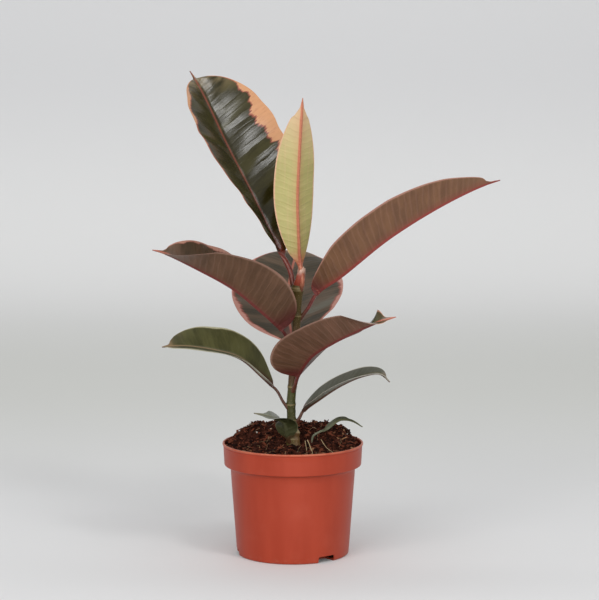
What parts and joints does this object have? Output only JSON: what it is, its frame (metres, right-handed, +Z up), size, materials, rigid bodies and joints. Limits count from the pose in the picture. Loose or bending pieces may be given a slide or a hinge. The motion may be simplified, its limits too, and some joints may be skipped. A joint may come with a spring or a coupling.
{
  "type": "potted rubber plant",
  "caption": "Young variegated rubber plant with glossy folded leaves on one upright stem, rooted in dark soil in a round plastic nursery pot with drainage notches.",
  "frame": {"origin": "middle of the pot's flat underside, on the surface it stands on", "axes": "+Z up along the pot's axis; -Y towards the side the plant shows best; +X to the right seen from there"},
  "size_m": [0.2909, 0.2804, 0.4096],
  "materials": {
    "pot_plastic": "satin terracotta-coloured moulded plastic with a brighter worn lip",
    "potting_soil": "matt dark brown coir and peat with chips, straws and a few pale bits",
    "stem_bark": "satin young green bark, browner in the middle, with pale leaf rings",
    "bud_skin": "satin pink-red sheath with papery pale edges",
    "leaf_skin": "glossy dark green upper side with pink and cream margin, satin brown-pink underside, red rib and stalk"
  },
  "bodies": {
    "root": {"pot": "pot_plastic", "soil": "potting_soil", "stem": "stem_bark", "tip_bud": "bud_skin", "leaf_upright_large": "leaf_skin", "leaf_upright_young": "leaf_skin", "leaf_right_long": "leaf_skin", "leaf_left_long": "leaf_skin", "leaf_rear": "leaf_skin", "leaf_front": "leaf_skin", "leaf_lower_left": "leaf_skin", "leaf_lower_right": "leaf_skin", "leaf_base_small": "leaf_skin", "side_shoot": "leaf_skin"}
  },
  "joints": []
}
